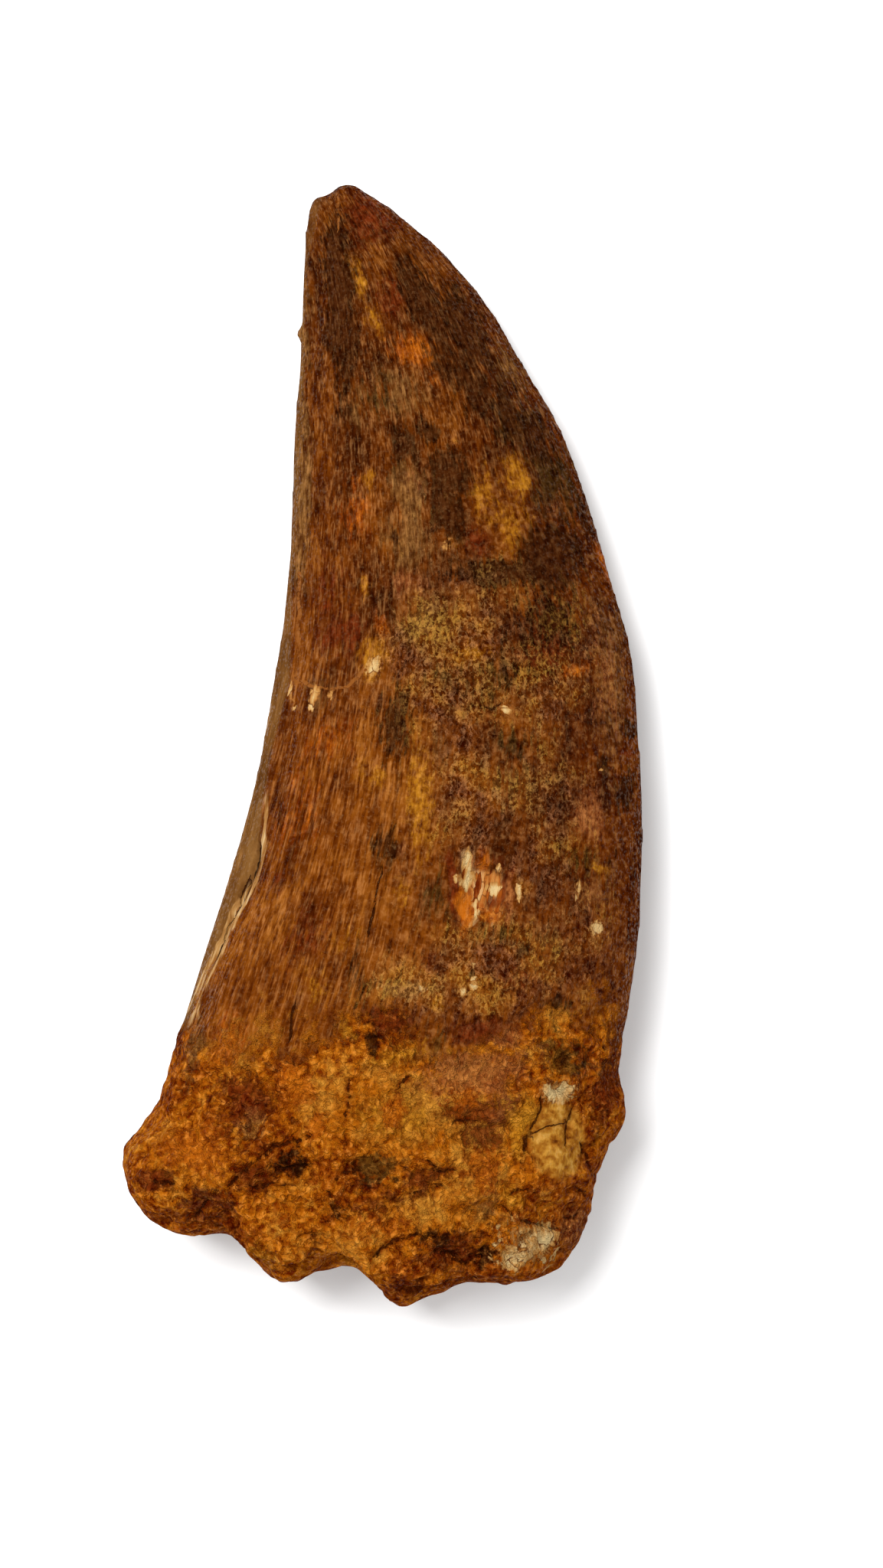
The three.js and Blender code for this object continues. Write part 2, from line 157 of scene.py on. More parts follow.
        (-0.9, 6.8, 0.6, 0.9, -18, 0.76), (-6.4, 4, 0.46, 1, -10, 1.25), (-5, 4.2, 0.46, 0.35, 0, 1),
        (-8.5, 4.1, 0.25, 1.1, 0, 0.95), (5.9, 18, 0.6, 0.8, 0, 0.75), (11.2, 2.8, 0.6, 0.28, -20, 0.7),
        (7.7, -11.1, 0.24, 1.2, 0, 1.25), (7.8, -12.6, 0.7, 0.9, 0, 1), (8.5, -15, 0.31, 1, 0, 1.1),
        (10.5, -11.7, 0.31, 0.42, 20, 0.85), (10, -13.4, 0.6, 0.49, 0, 1.4), (12.3, -13.6, 0.24, 1, 0, 1),
        (6.7, -12.5, 0.24, 0.28, 0, 1.1), (17.8, -14.1, 0.28, 1.3, 0, 0.7), (19.3, -17.2, 0.6, 0.7, 0, 0.65),
        (8.2, -22.1, 0.31, 0.42, 0, 1.3), (7.2, -22.9, 0.24, 0.28, 0, 1.1), (8.2, -20.1, 0.24, 0.8, 0, 0.65),
        (15.9, -32, 1.3, 0.9, 6, 1.05), (13.3, -46.1, 2.7, 2.1, -12, 1), (12, -47.3, 1, 0.8, 0, 1.35),
        (14.8, -46.1, 1.1, 1, -30, 1.3), (1.7, -22.6, 2.2, 0.45, 0, 0.7), (20, -2.8, 0.21, 0.21, 0, 0.9),
    ],
}

# Share of the sides and the underside that each kind of stain, and the crust, covers there.
HIDDEN_SHARE = {
    "dark": 0.18, "olive": 0.12, "red": 0.16, "gold": 0.12, "orange": 0.14, "tan": 0.18, "pink": 0.08,
    "pale": 0.01,
}
HIDDEN_CRUST_SHARE = 0.22

# Sandy crust cemented to the enamel of the upper side.
CRUST = [
    (6.5, 7.3, 6.1, 6.8, 0, 1.05), (9.1, 14.6, 4.9, 2.8, 0, 0.7), (15.4, 7.2, 5.6, 6.7, 0, 0.95),
    (7.7, -4.4, 3.5, 7, 0, 0.85), (14.7, -4.8, 6.3, 5.2, 0, 0.75), (10.4, -21.1, 6.3, 5.6, 0, 0.95),
    (17.5, -19.1, 4.2, 7, 0, 0.85), (3.1, -22.1, 5.2, 3.1, 0, 0.85), (15.4, -11.1, 4.9, 6.6, 0, 0.75),
    (4.2, 19.6, 2.8, 4.9, 0, 0.5),
]

# Where a flake of enamel has sprung off, and the splintered dentine shows.
CHIP = [
    (9.0, -13.5, 2.3, 2.1, 0, 1), (7.8, -11.3, 0.63, 1.7, 0, 1),
    (7.7, -15.1, 1, 1.7, 0, 1), (10.0, -15.4, 1, 1.5, 0, 1),
]
CHIP_DEPTH = 0.5

# The smooth, cracked lump of matrix at the root's front corner.
NODULE = [
    (15.9, -36.3, 2.8, 4, 8, 1), (14.8, -41.3, 3.2, 3.1, 0, 0.55),
]

# A speck that stands out of the back edge near the tip.
NICK = (-7.9, 38.5, 3.1)
NICK_HEIGHT = 0.5
NICK_RADIUS = 0.6

# Where the enamel and the root's matrix are cleaner and lighter.
LIGHTER = [
    (-8.7, -19.1, 5.2, 7, -10, 0.8), (-0.0, -7.2, 4.2, 7.7, 0, 0.7),
    (4.2, -33.3, 9.7, 4, 0, 1), (-18.4, -38.0, 3.5, 2.8, 0, 0.9), (9.7, -39.1, 4.2, 2.8, 0, 0.8),
    (-14.7, -28.2, 3.5, 3.5, 0, 0.7), (9.7, -29.4, 4.9, 2.5, 0, 0.8), (-4.8, -32.8, 4.1, 3.5, 0, 0.8),
    (-8.3, -40.4, 4.2, 2.1, 0, 0.6), (4.2, -43.1, 5.5, 2.1, 0, 0.8), (8.5, -36, 4.2, 6.5, 0, 1.05),
    (14.5, -21.5, 6.5, 4.5, 0, 0.85), (1, -21.5, 5, 4, 0, 0.8), (-3, -46, 5, 3, 0, 0.6),
]

# How far the thin lines wander, in what lumps and from what seed, and how far from them is measured.
CREVICE_WANDER = (0.2, 1.6, 13)
PALE_WANDER = (0.15, 1.2, 60)
LINE_REACH = 2.0

# Thin lines of the upper side, where enamel is worn pale: half width, and points.
PALE_LINES = [
    (0.13, [(-7.9, 5.5), (-6.5, 5.0), (-4.9, 4.7), (-3.6, 4.9), (-2.4, 5.6)]),
    (0.15, [(-2.4, 5.6), (-1.7, 6.8), (-1.0, 8.5), (-0.5, 9.5)]),
    (0.14, [(-7.8, 15.6), (-7.9, 10.5), (-8.1, 5.5)]),
    (0.10, [(-4.5, 51.3), (-4.4, 48.2)]),
    (0.17, [(9.1, 2.5), (9.8, 2.1), (10.5, 1.7)]),
    (0.18, [(10.7, 3.1), (11.3, 2.7), (12.0, 2.1)]),
    (0.10, [(10.2, 3.5), (10.6, 2.9)]),
    (0.15, [(-12.3, -13.6), (-13.5, -15.2), (-14.6, -17.1), (-15.3, -19.3), (-16.4, -21.3), (-17.3, -23.6)]),
    (0.14, [(-16.8, -22.9), (-17.3, -25.7), (-17.5, -29.0)]),
    (0.12, [(-17.9, -26.1), (-18.1, -30.4)]),
]

# Open cracks and crevices of the upper side: half width, depth, and points.
CREVICES = [
    (0.14, 0.45, [(-12.5, -39.1), (-11.0, -37.9), (-9.8, -36.9), (-8.3, -36.3), (-6.8, -35.9)]),
    (0.16, 0.60, [(-10.2, -38.6), (-9.0, -38.9), (-6.8, -38.6)]),
    (0.13, 0.40, [(-13.8, -40.4), (-13.0, -39.4), (-12.3, -38.9)]),
    (0.13, 0.35, [(-20.8, -40.0), (-19.3, -40.3)]),
    (0.10, 0.40, [(-3.3, -33.9), (-3.1, -32.5), (-2.8, -30.7)]),
    (0.10, 0.30, [(1.4, -31.4), (1.8, -30.9), (2.2, -30.5)]),
    (0.14, 0.50, [(-0.7, -46.6), (1.1, -45.3), (3.2, -44.3)]),
    (0.12, 0.35, [(-4.1, -39.7), (-3.3, -39.1), (-2.3, -39.0)]),
    (0.10, 0.30, [(-11.7, -40.3), (-10.4, -40.1), (-8.8, -40.3)]),
    (0.10, 0.30, [(9.6, 2.8), (10.1, 2.6), (10.5, 3.1)]),
    (0.08, 0.30, [(14.4, -32.5), (14.2, -33.5), (13.9, -34.5)]),
    (0.09, 0.38, [(13.8, -34.8), (13.4, -35.7), (13.0, -36.4), (12.7, -37.3), (12.5, -38.2)]),
    (0.06, 0.28, [(17.3, -33.8), (16.8, -34.9), (16.7, -35.8), (16.7, -36.8)]),
    (0.05, 0.18, [(13.6, -35.8), (14.8, -35.3), (15.9, -34.9), (16.6, -34.9)]),
    (0.08, 0.30, [(11.0, -42.4), (12.0, -43.3), (13.0, -43.8), (14.3, -44.2), (15.6, -44.7)]),
    (0.07, 0.28, [(18.2, -37.0), (18.8, -38.3), (19.5, -40.1)]),
    (0.08, 0.25, [(11.7, -41.2), (12.2, -40.7), (13.2, -40.7), (13.9, -41.3)]),
    (0.10, 0.30, [(18.0, -41.3), (18.5, -42.5), (18.0, -43.6), (17.2, -43.9)]),
    (0.18, 0.60, [(5.0, -46.1), (6.3, -47.1), (7.8, -47.6), (9.5, -46.1)]),
    (0.10, 0.25, [(2.8, -41.0), (3.9, -40.5), (5.2, -40.3)]),
    (0.09, 0.25, [(-8.1, -24.1), (-8.3, -25.3), (-8.4, -27.0)]),
    (0.06, 0.20, [(-0.1, -12.0), (-0.3, -12.9), (-0.6, -14.2)]),
    (0.11, 0.30, [(-0.7, -15.3), (-1.1, -16.4), (-1.4, -17.6)]),
    (0.10, 0.30, [(-11.6, -9.8), (-11.9, -10.8)]),
    (0.13, 0.35, [(-12.8, -12.8), (-13.6, -14.9)]),
    (0.11, 0.30, [(-14.3, -16.4), (-15.1, -18.3)]),
    (0.12, 0.35, [(-4.8, -41.0), (-4.4, -42.1), (-4.7, -43.3)]),
    (0.12, 0.40, [(-17.5, -43.8), (-16.6, -43.0), (-16.0, -42.0)]),
    (0.10, 0.30, [(6.3, -34.9), (7.2, -34.3), (8.3, -34.6)]),
    (0.10, 0.30, [(4.2, -38.2), (5.2, -38.8), (6.4, -38.8)]),
]


# ---------------------------------------------------------------- the dense mesh


def dense_copy(node, name):
    """The CAD solid as an even mesh of small faces, with its facets smoothed away."""
    rough = bpy.data.objects.new(name + "_rough", node.data.copy())
    bpy.context.scene.collection.objects.link(rough)
    weld = rough.modifiers.new("weld", "WELD")
    weld.merge_threshold = WELD_DISTANCE * MM
    remesh = rough.modifiers.new("even", "REMESH")
    remesh.mode = "VOXEL"
    remesh.voxel_size = VOXEL * MM
    remesh.use_smooth_shade = True
    evaluated = rough.evaluated_get(bpy.context.evaluated_depsgraph_get())
    mesh = bpy.data.meshes.new_from_object(evaluated)
    bpy.data.objects.remove(rough)
    mesh.name = name
    mesh.materials.clear()
    write_points(mesh, smoothed(mesh, read_points(mesh)))
    piece = bpy.data.objects.new(name, mesh)
    bpy.context.scene.collection.objects.link(piece)
    return piece


def read_points(mesh):
    """The mesh's points, in millimetres."""
    flat = np.empty(len(mesh.vertices) * 3)
    mesh.vertices.foreach_get("co", flat)
    return flat.reshape(-1, 3) / MM


def write_points(mesh, points):
    """Moves the mesh's points to these places, in millimetres."""
    mesh.vertices.foreach_set("co", (points * MM).ravel())
    mesh.update()


def read_normals(mesh):
    """The direction that the surface faces at each point."""
    flat = np.empty(len(mesh.vertices) * 3)
    mesh.vertex_normals.foreach_get("vector", flat)
    return flat.reshape(-1, 3)


def smoothed(mesh, points):
    """Taubin smoothing: each round relaxes the points, and then pushes them out again by a little more."""
    ends = np.empty(len(mesh.edges) * 2, dtype=int)
    mesh.edges.foreach_get("vertices", ends)
    a, b = ends.reshape(-1, 2).T
    count = len(points)
    degree = np.bincount(a, minlength=count) + np.bincount(b, minlength=count)
    for step in SMOOTHING_STEPS * SMOOTHING_ROUNDS:
        total = np.empty_like(points)
        for axis in range(3):
            values = points[:, axis]
            total[:, axis] = np.bincount(a, values[b], count) + np.bincount(b, values[a], count)
        points = points + step * (total / degree[:, None] - points)
    return points


# ---------------------------------------------------------------- fields over the surface


def smoothstep(value, low, high):
    """A smooth climb from 0 to 1 as value goes from low to high."""
    t = np.clip((value - low) / (high - low), 0, 1)
    return t * t * (3 - 2 * t)


def lumps(points, size, seed, stretch=(1, 1, 1)):
    """Noise of about -1 to 1 at each point, in lumps some `size` millimetres apart."""
    scaled = points / (size * np.array(stretch)) + seed * np.array([7.31, 3.17, 5.83])
    return 1.5 * np.array([noise.noise(p) for p in scaled.tolist()])


def wander(points, reach, size, seed):
    """The points pushed sideways by up to `reach` millimetres."""
    push = [lumps(points, size, seed), lumps(points, size, seed + 0.5), np.zeros(len(points))]
    return points + reach * np.column_stack(push)


def ellipse_distance(points, x, y, half_width, half_length, turn):
    """0 in the middle of a turned ellipse and 1 on its rim, seen from above."""
    angle = math.radians(turn)
    dx = points[:, 0] - x
    dy = points[:, 1] - y
    aside = (dx * math.cos(angle) + dy * math.sin(angle)) / half_width
    along = (dy * math.cos(angle) - dx * math.sin(angle)) / half_length
    return np.hypot(aside, along)


def nearness(points, stains):
    """The greatest nearness to any of the stains."""
    best = np.zeros(len(points))
    for x, y, half_width, half_length, turn, strength in stains:
        distance = ellipse_distance(points, x, y, half_width, half_length, turn)
        best = np.maximum(best, strength * np.clip(1 - 0.5 * distance, 0, 1))
    return best


def line_distance(points, line):
    """Distance from above to a line through points, signed: positive on its left, looking along it."""
    best = np.full(len(points), np.inf)
    signed = best.copy()
    for (x0, y0), (x1, y1) in zip(line, line[1:]):
        ex, ey = x1 - x0, y1 - y0
        dx, dy = points[:, 0] - x0, points[:, 1] - y0
        t = np.clip((dx * ex + dy * ey) / (ex * ex + ey * ey), 0, 1)
        distance = np.hypot(dx - t * ex, dy - t * ey)
        nearer = distance < best
        best[nearer] = distance[nearer]
        signed[nearer] = (np.sign(ex * dy - ey * dx) * distance)[nearer]
    return signed


def nearest_line(points, lines):
    """Signed distance to the nearest of thin lines, up to LINE_REACH, its half width, and its depth."""
    signed = np.full(len(points), LINE_REACH)
    width = np.ones(len(points))
    depth = np.zeros(len(points))
    for half_width, *deep, line in lines:
        distance = line_distance(points, line)
        nearer = np.abs(distance) < np.abs(signed)
        signed[nearer] = distance[nearer]
        width[nearer] = half_width
        depth[nearer] = deep[0] if deep else 0
    return signed, width, depth


def stretch_weight(y, stretch, fade=2.0):
    """1 within a stretch of y, from its upper to its lower end, fading at both."""
    upper, lower = stretch
    under_upper = 1 - smoothstep(y, upper - fade / 2, upper + fade / 2)
    return smoothstep(y, lower - fade / 2, lower + fade / 2) * under_upper


class Surface:
    """What is known of each point of the dense mesh before relief is added to it."""

    def __init__(self, mesh):
        self.points = read_points(mesh)
        self.normals = read_normals(mesh)
        self.x, self.y, self.z = self.points.T
        self.upper = smoothstep(self.normals[:, 2], -0.12, 0.12)
        self.flank = 1 - smoothstep(np.abs(self.normals[:, 2]), 0.25, 0.6)
        self.ridge = line_distance(self.points, RIDGE_LINE)
        brow = ROOT_START + 2.6 * lumps(self.points, 8, 1) + 1.6 * lumps(self.points, 3, 1.5)
        self.root = smoothstep(brow - self.y, 0, 8)
        self.nodule = self.upper * smoothstep(nearness(self.points, NODULE), 0.45, 0.62)
        ragged = 0.12 * lumps(self.points, 1.1, 2, (1, 2.2, 1))
        self.chip = self.upper * smoothstep(nearness(self.points, CHIP) + ragged, 0.5, 0.58)
        self.grain = self.grain_coordinates()

    def grain_coordinates(self):
        """Coordinates whose second axis runs with the tooth's fibres, from the root to the tip."""
        steps = np.arange(-52, 53, 2.0)
        slabs = [self.x[np.abs(self.y - step) < 1.2] for step in steps]
        back = np.interp(self.y, steps, [slab.min() for slab in slabs])
        front = np.interp(self.y, steps, [slab.max() for slab in slabs])
        width = np.maximum(front - back, 4)
        across = (self.x - back) / width
        return np.column_stack([(across - 0.5) * 45 ** 0.45 * width ** 0.55, self.y, self.z])


# ---------------------------------------------------------------- relief


def crown_relief(s):
    """Slow waves and lengthwise wrinkles of the enamel."""
    wrinkles = 0.05 * lumps(s.grain, 1.3, 3, (1, 7, 1)) + 0.03 * lumps(s.grain, 0.8, 4, (1, 5, 1))
    waves = 0.10 * lumps(s.points, 5, 5, (1, 2, 1))
    return (1 - s.root) * (wrinkles + waves)


def ridge_relief(s):
    """The cutting ridge stands proud, with a crack beside it on the outer side."""
    stands = RIDGE_HEIGHT * np.exp(-((s.ridge / 0.5) ** 2)) * stretch_weight(s.y, RIDGE_STRETCH, 6)
    crack = np.exp(-(((s.ridge + 0.48) / 0.30) ** 2)) * stretch_weight(s.y, RIDGE_CRACK)
    return s.upper * (stands - RIDGE_CRACK_DEPTH * crack)


def crust_relief(s):
    """Grains cemented to the enamel."""
    crust = s.upper * smoothstep(nearness(s.points, CRUST), 0.3, 0.7) * (1 - s.root)
    return crust * (0.10 + 0.09 * lumps(s.points, 0.8, 6))


def root_relief(s):
    """Lumps, grains and pits of the broken root; the nodule is smooth."""
    rough = s.root * (1 - 0.88 * s.nodule) * (1 - 0.6 * s.flank)
    knobs = 0.40 * lumps(s.points, 2.4, 7) + 0.26 * lumps(s.points, 1.25, 8) + 0.13 * lumps(s.points, 0.75, 9)
    pits = smoothstep(lumps(s.points, 1.7, 10, (1.3, 0.8, 1)), 0.35, 0.8)
    return rough * (knobs - 0.45 * pits) + 0.12 * s.nodule * lumps(s.points, 3.5, 11)


def chip_relief(s):
    """The floor of the chip, in lengthwise splinters."""
    splinters = 0.16 * lumps(s.grain, 0.9, 12, (1, 3, 1))
    return s.chip * (splinters - CHIP_DEPTH)


def crevice_relief(s):
    """Open cracks and crevices, as deep as CREVICES says."""
    distance, width, depth = nearest_line(wander(s.points, *CREVICE_WANDER), CREVICES)
    return -s.upper * depth * np.exp(-((distance / (0.2 + width)) ** 2))


def nick_relief(s):
    """The speck on the back edge."""
    distance = np.linalg.norm(s.points - np.array(NICK), axis=1)
    return NICK_HEIGHT * np.exp(-((distance / NICK_RADIUS) ** 2))


def add_relief(mesh, s):
    """Moves the points along their normals, within the CAD solid's box."""
    height = crown_relief(s) + ridge_relief(s) + crust_relief(s) + root_relief(s)
    height += chip_relief(s) + crevice_relief(s) + nick_relief(s)
    low, high = (np.array(corner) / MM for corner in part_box("tooth"))
    points = np.clip(s.points + s.normals * height[:, None], low, high)
    write_points(mesh, points)


# ---------------------------------------------------------------- stains


def hidden_stains(s, seed, share):
    """Stains of the sides that no one placed by hand: nearness over 0.5 on about `share` of the surface."""
    streaky = lumps(s.grain, 3.2, seed, (1, 2.6, 1))
    blotchy = lumps(s.points, 3.0, seed + 0.5)
    field = streaky + (blotchy - streaky) * s.root
    return np.clip(0.5 + 0.5 * (field - (0.9 - 1.8 * share)), 0, 1) * (1 - s.upper)


def store(mesh, name, columns):
    """Stores three values on each point, for the material to read."""
    attribute = mesh.attributes.new(name, "FLOAT_VECTOR", "POINT")
    attribute.data.foreach_set("vector", np.column_stack(columns).astype(np.float32).ravel())


def paint(mesh, s):
    """Stores where each stain, zone and thin line is."""
    field = {}
    wandering = wander(s.points, *PALE_WANDER)
    torn = wander(wander(s.points, 0.22, 1.0, 62), 0.5, 3.2, 64)
    for number, (kind, stains) in enumerate(STAINS.items()):
        placed = s.upper * nearness(wandering if kind == "pale" else torn, stains)
        field[kind] = np.maximum(placed, hidden_stains(s, 20 + 3 * number, HIDDEN_SHARE[kind]))
    crust = np.maximum(s.upper * nearness(s.points, CRUST), hidden_stains(s, 50, HIDDEN_CRUST_SHARE))
    strip = smoothstep(-s.ridge, 0.1, 0.6) * stretch_weight(s.y, STRIP_STRETCH, 4)
    stretches = (RIDGE_PALE, RIDGE_SECOND, RIDGE_CRACK)
    first, second, crack = (s.upper * stretch_weight(s.y, stretch) for stretch in stretches)
    store(mesh, "stain_dark_olive_red", [field["dark"], field["olive"], field["red"]])
    store(mesh, "stain_gold_orange_tan", [field["gold"], field["orange"], field["tan"]])
    store(mesh, "stain_pink_pale_crust", [field["pink"], field["pale"], crust])
    store(mesh, "zone_root_strip_chip", [s.root, strip, s.chip])
    light = s.upper * nearness(torn, LIGHTER)
    store(mesh, "zone_nodule_crack_light", [s.nodule, crack, light])
    thin_lines = [("crevice", CREVICES, CREVICE_WANDER), ("pale_line", PALE_LINES, PALE_WANDER)]
    for name, lines, push in thin_lines:
        signed, width, _ = nearest_line(wander(s.points, *push), lines)
        store(mesh, name, [signed, np.abs(signed) + LINE_REACH * (1 - s.upper), width])
    store(mesh, "ridge", [s.ridge, first, second])
    store(mesh, "grain", s.grain.T)


# ---------------------------------------------------------------- the material


def pigment(red, green, blue):
    """The pigment that shows as this display colour, 0 to 255, in the studio's light."""
    def linear(value):
        value /= 255
        return value / 12.92 if value <= 0.04045 else ((value + 0.055) / 1.055) ** 2.4
    return (linear(red) / LIGHT_LEVEL, linear(green) / LIGHT_LEVEL, linear(blue) / LIGHT_LEVEL, 1.0)


class Graph:
    """A material's nodes, with a short call for each kind that is used here."""

    def __init__(self, name):
        self.material = bpy.data.materials.new(name)
        self.material.use_nodes = True
        self.nodes = self.material.node_tree.nodes
        self.links = self.material.node_tree.links
        self.shader = self.nodes["Principled BSDF"]

    def feed(self, socket, value):
        """Links the value to the socket if it is another socket, and else sets it there."""
        if isinstance(value, bpy.types.NodeSocket):
            self.links.new(value, socket)
        elif value is not None:
            socket.default_value = value

    def attribute(self, name):
        """The attribute's vector."""
        node = self.nodes.new("ShaderNodeAttribute")
        node.attribute_name = name
        return node.outputs["Vector"]

    def parts(self, vector):
        """The vector's three values."""
        node = self.nodes.new("ShaderNodeSeparateXYZ")
        self.feed(node.inputs[0], vector)
        return node.outputs

    def math(self, operation, a, b=None):
        node = self.nodes.new("ShaderNodeMath")
        node.operation = operation
        self.feed(node.inputs[0], a)
        self.feed(node.inputs[1], b)
        return node.outputs[0]

    def vector_math(self, operation, a, b):
        node = self.nodes.new("ShaderNodeVectorMath")
        node.operation = operation
        self.feed(node.inputs[0], a)
        self.feed(node.inputs[1], b)
        return node.outputs[0]

    def noise_node(self, vector, size, detail, roughness, seed):
        sizes = size if isinstance(size, tuple) else (size,) * 3
        node = self.nodes.new("ShaderNodeTexNoise")
        node.noise_dimensions = "4D"
        scaled = self.vector_math("MULTIPLY", vector, tuple(1 / value for value in sizes))
        self.feed(node.inputs["Vector"], scaled)
        node.inputs["W"].default_value = seed
        node.inputs["Scale"].default_value = 1.0
        node.inputs["Detail"].default_value = detail
        node.inputs["Roughness"].default_value = roughness
        return node

    def noise(self, vector, size, detail=2.0, roughness=0.55, seed=0.0):
        """Noise of 0 to 1 with features of `size`, one number or one for each axis, in millimetres."""
        return self.noise_node(vector, size, detail, roughness, seed).outputs["Fac"]

    def warped(self, vector, size, reach, seed=0.0):
        """The vector pushed about by up to `reach` millimetres, by noise of `size`."""
        push = self.noise_node(vector, size, 2.0, 0.6, seed).outputs["Color"]
        push = self.vector_math("SUBTRACT", push, (0.5, 0.5, 0.5))
        return self.vector_math("ADD", vector, self.vector_math("MULTIPLY", push, (2 * reach,) * 3))

    def shards(self, vector, sizes):
        """Angular cells: a random value of 0 to 1 for each, and the distance from its edge, over its size."""
        scaled = self.vector_math("MULTIPLY", vector, tuple(1 / value for value in sizes))
        value, edge = (self.nodes.new("ShaderNodeTexVoronoi") for _ in range(2))
        edge.feature = "DISTANCE_TO_EDGE"
        for node in (value, edge):
            self.feed(node.inputs["Vector"], scaled)
            node.inputs["Scale"].default_value = 1.0
        return self.parts(value.outputs["Color"])[0], edge.outputs["Distance"]

    def ranged(self, value, low, high, to_low=0.0, to_high=1.0):
        """A smooth climb from to_low to to_high as value goes from low to high."""
        node = self.nodes.new("ShaderNodeMapRange")
        node.interpolation_type = "SMOOTHSTEP"
        for socket, number in zip(node.inputs, (value, low, high, to_low, to_high)):
            self.feed(socket, number)
        return node.outputs[0]

    def ramp(self, value, stops):
        """Colours along a value: a list of (place, colour)."""
        node = self.nodes.new("ShaderNodeValToRGB")
        elements = node.color_ramp.elements
        while len(elements) < len(stops):
            elements.new(0.5)
        for element, (place, colour) in zip(elements, stops):
            element.position = place
            element.color = colour
        self.feed(node.inputs[0], value)
        return node.outputs["Color"]

    def mix(self, factor, a, b, blend="MIX"):
        """Colour a where factor is 0, and b where it is 1."""
        node = self.nodes.new("ShaderNodeMix")
        node.data_type = "RGBA"
        node.blend_type = blend
        self.feed(node.inputs["Factor"], factor)
        self.feed(node.inputs["A"], a)
        self.feed(node.inputs["B"], b)
        return node.outputs["Result"]

    def tinted(self, factor, colour, tint):
        """The colour, multiplied by the tint as far as factor says."""
        return self.mix(factor, colour, self.mix(1.0, colour, tint, "MULTIPLY"))

    def lerp(self, factor, a, b):
        """Value a where factor is 0, and b where it is 1."""
        node = self.nodes.new("ShaderNodeMix")
        self.feed(node.inputs["Factor"], factor)
        self.feed(node.inputs["A"], a)
        self.feed(node.inputs["B"], b)
        return node.outputs["Result"]

    def total(self, *weighted):
        """The sum of (weight, value) pairs."""
        result = None
        for weight, value in weighted:
            term = self.math("MULTIPLY", value, weight)
            result = term if result is None else self.math("ADD", result, term)
        return result

    def product(self, first, *others):
        for other in others:
            first = self.math("MULTIPLY", first, other)
        return first

    def greatest(self, first, *others):
        for other in others:
            first = self.math("MAXIMUM", first, other)
        return first

    def inverse(self, value):
        return self.math("SUBTRACT", 1.0, value)

    def centred(self, noise):
        """Noise about 0, from noise of 0 to 1."""
        return self.math("SUBTRACT", noise, 0.5)

    def folded(self, noise):
        """0 along thin, winding lines: the distance of noise from its middle value."""
        return self.math("ABSOLUTE", self.centred(noise))

    def cut(self, field, noise, cut, soft, torn):
        """1 where a field torn by noise is over `cut`, and 0 under it."""
        value = self.total((1.0, field), (torn, self.centred(noise)))
        return self.ranged(value, cut - soft, cut + soft)


